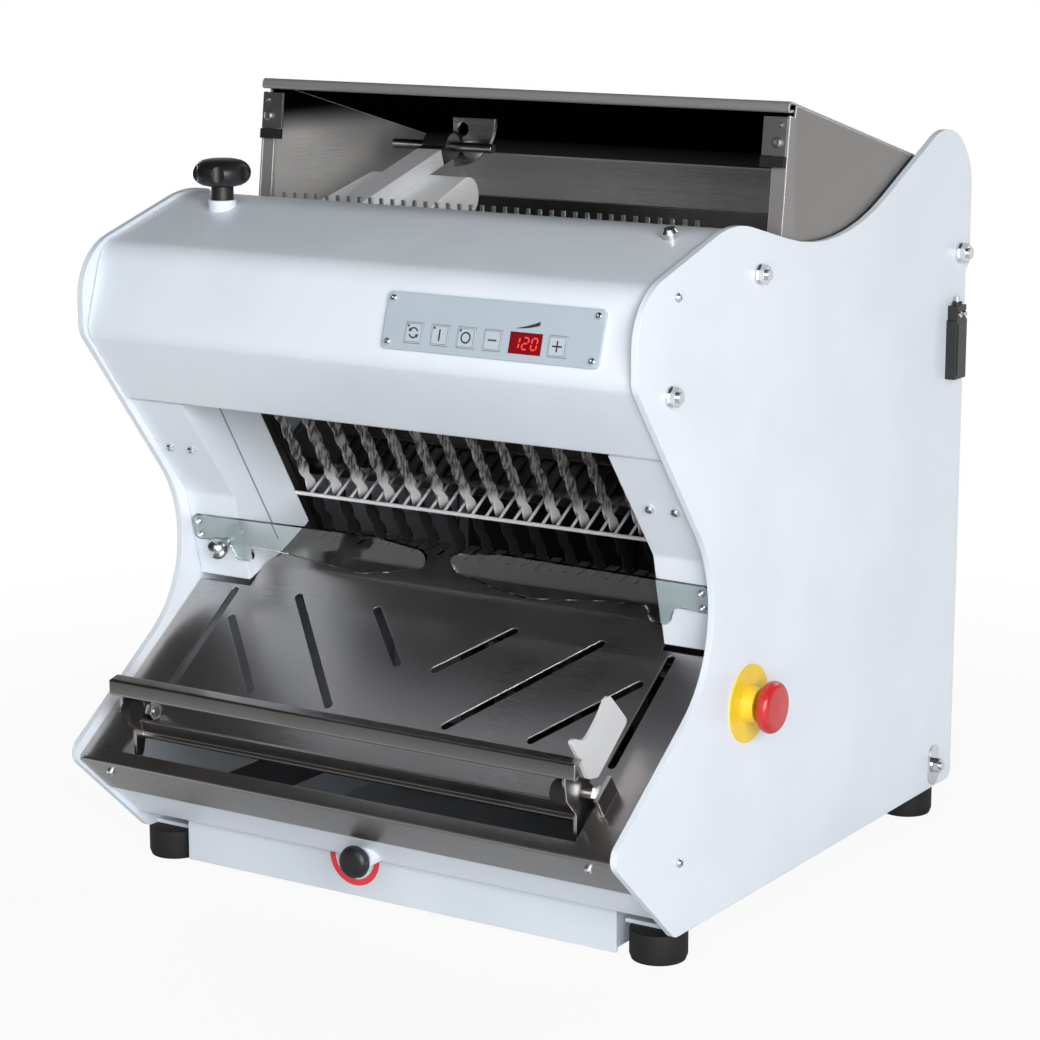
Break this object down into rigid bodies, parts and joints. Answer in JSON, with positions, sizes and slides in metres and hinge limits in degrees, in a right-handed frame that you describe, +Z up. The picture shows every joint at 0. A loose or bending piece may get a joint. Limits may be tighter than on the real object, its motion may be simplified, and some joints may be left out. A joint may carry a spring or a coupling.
{
  "type": "bread slicer",
  "caption": "Bench bread slicer with tilted reciprocating blade frames, a hinged hopper lid with pusher, a sloping outfeed chute with folding stop and a crumb drawer.",
  "frame": {"origin": "on the floor, on the mid-plane between the side panels, close to the middle of the depth", "axes": "+X to the right seen from the front, +Y towards the back, +Z up"},
  "size_m": [0.5373, 0.5759, 0.6201],
  "materials": {
    "white_paint": "smooth white powder coat",
    "stainless": "brushed stainless sheet",
    "blade_steel": "ground blade steel",
    "bright_steel": "zinc plated fasteners and rods",
    "aluminium": "machined aluminium",
    "cast_metal": "dark cast metal",
    "motor_paint": "grey painted finned housing",
    "black_rubber": "black rubber",
    "black_plastic": "black moulded plastic",
    "clear_plastic": "clear plate",
    "white_plastic": "white food-grade plastic",
    "panel_film": "pale blue-grey keypad",
    "key_film": "pale key caps",
    "display_glass": "dark red display window",
    "yellow_plastic": "yellow disc",
    "red_plastic": "red mushroom head",
    "grey_box": "grey enclosure"
  },
  "bodies": {
    "housing": {"left_side_panel": "white_paint", "right_side_panel": "white_paint", "base_pan": "white_paint", "rear_cover": "white_paint", "front_hood": "white_paint", "front_apron": "white_paint", "side_posts": "white_paint", "outfeed_chute": "stainless", "loaf_grid": "bright_steel", "infeed_bed": "stainless", "infeed_comb": "stainless", "clear_guards": "clear_plastic", "guard_knob": "bright_steel", "control_panel": "panel_film", "display_window": "display_glass", "e_stop_disc": "yellow_plastic", "e_stop_collar": "yellow_plastic", "limit_switch": "black_plastic", "side_bolts": "bright_steel", "screws": "bright_steel", "rubber_feet": "black_rubber", "lid_hinge_bolts": "bright_steel", "guide_rods": "bright_steel", "rod_blocks": "cast_metal", "crank_stands": "cast_metal", "motor": "motor_paint", "motor_cradle": "cast_metal", "drive_belt": "black_rubber", "control_box": "grey_box", "cable_gland": "black_plastic"},
    "lid": {"lid_shell": "stainless", "lid_walls": "stainless", "lid_brackets": "aluminium", "lid_buffers": "black_rubber", "pusher_bracket": "stainless"},
    "pusher": {"pusher_hub": "black_plastic", "pusher_arm": "stainless", "pusher_pad": "white_plastic"},
    "front_frame": {"front_blade_frame": "aluminium", "front_blades": "blade_steel"},
    "rear_frame": {"rear_blade_frame": "aluminium", "rear_blades": "blade_steel"},
    "crank": {"crankshaft": "bright_steel", "driven_pulley": "cast_metal"},
    "motor_wheel": {"motor_pulley": "cast_metal"},
    "drawer": {"crumb_drawer": "white_paint"},
    "drawer_catch": {"drawer_knob": "black_plastic"},
    "hood_clamp": {"hood_knob": "black_plastic"},
    "stop": {"stop_frame": "stainless", "stop_buffers": "black_rubber", "stop_lever": "clear_plastic"},
    "mode_button": {"mode_key": "key_film"},
    "start_button": {"start_key": "key_film"},
    "stop_button": {"stop_key": "key_film"},
    "minus_button": {"minus_key": "key_film"},
    "plus_button": {"plus_key": "key_film"},
    "e_stop_stem": {"e_stop_plunger": "black_plastic"},
    "e_stop_cap": {"e_stop_head": "red_plastic"},
    "switch_pin": {"switch_plunger": "bright_steel"}
  },
  "joints": [
    {"name": "lid_hinge", "type": "hinge", "parent": "housing", "child": "lid", "pos_m": [0, 0.266, 0.478], "axis": [-1, 0, 0], "range_deg": [-13, 55]},
    {"name": "pusher_pivot", "type": "hinge", "parent": "lid", "child": "pusher", "pos_m": [-0.15, 0.092, 0.56], "axis": [1, 0, 0], "range_deg": [-5, 40]},
    {"name": "crank_turn", "type": "hinge", "parent": "housing", "child": "crank", "pos_m": [0, 0.04595, 0.14725], "axis": [1, 0, 0], "range_deg": [-90, 90]},
    {"name": "front_frame_slide", "type": "slide", "parent": "housing", "child": "front_frame", "axis": [0, -0.5299, 0.848], "range_m": [-0.0101, 0.0101]},
    {"name": "rear_frame_slide", "type": "slide", "parent": "housing", "child": "rear_frame", "axis": [0, -0.5299, 0.848], "range_m": [-0.0101, 0.0101]},
    {"name": "motor_pulley_turn", "type": "hinge", "parent": "housing", "child": "motor_wheel", "pos_m": [0.16, 0.18595, 0.117], "axis": [1, 0, 0], "range_deg": [-181, 181]},
    {"name": "drawer_slide", "type": "slide", "parent": "housing", "child": "drawer", "axis": [0, -1, 0], "range_m": [0, 0.3]},
    {"name": "drawer_knob_turn", "type": "hinge", "parent": "housing", "child": "drawer_catch", "pos_m": [-0.008, -0.24063, 0.0465], "axis": [0, -1, 0], "range_deg": [0, 180]},
    {"name": "hood_knob_turn", "type": "hinge", "parent": "housing", "child": "hood_clamp", "pos_m": [-0.19, -0.1565, 0.53], "axis": [0, 0, 1], "continuous": true},
    {"name": "stop_fold", "type": "hinge", "parent": "housing", "child": "stop", "pos_m": [0, -0.24762, 0.13866], "axis": [1, 0, 0], "range_deg": [0, 35]},
    {"name": "mode_key_press", "type": "slide", "parent": "housing", "child": "mode_button", "axis": [0, 0.9563, -0.2924], "range_m": [0, 0.0005], "stiffness_N_per_m": 800},
    {"name": "start_key_press", "type": "slide", "parent": "housing", "child": "start_button", "axis": [0, 0.9563, -0.2924], "range_m": [0, 0.0005], "stiffness_N_per_m": 800},
    {"name": "stop_key_press", "type": "slide", "parent": "housing", "child": "stop_button", "axis": [0, 0.9563, -0.2924], "range_m": [0, 0.0005], "stiffness_N_per_m": 800},
    {"name": "minus_key_press", "type": "slide", "parent": "housing", "child": "minus_button", "axis": [0, 0.9563, -0.2924], "range_m": [0, 0.0005], "stiffness_N_per_m": 800},
    {"name": "plus_key_press", "type": "slide", "parent": "housing", "child": "plus_button", "axis": [0, 0.9563, -0.2924], "range_m": [0, 0.0005], "stiffness_N_per_m": 800},
    {"name": "e_stop_press", "type": "slide", "parent": "housing", "child": "e_stop_stem", "axis": [-1, 0, 0], "range_m": [0, 0.004], "stiffness_N_per_m": 1500},
    {"name": "e_stop_twist", "type": "hinge", "parent": "e_stop_stem", "child": "e_stop_cap", "pos_m": [0.27, -0.0935, 0.176], "axis": [1, 0, 0], "range_deg": [0, 45], "stiffness_Nm_per_rad": 0.05},
    {"name": "switch_press", "type": "slide", "parent": "housing", "child": "switch_pin", "axis": [0, 0, -1], "range_m": [0, 0.003], "stiffness_N_per_m": 300}
  ],
  "couplings": [
    {"joint": "front_frame_slide", "follows": "crank_turn", "m_per_rad": 0.0063662},
    {"joint": "rear_frame_slide", "follows": "crank_turn", "m_per_rad": -0.0063662},
    {"joint": "motor_pulley_turn", "follows": "crank_turn", "ratio": 2}
  ]
}
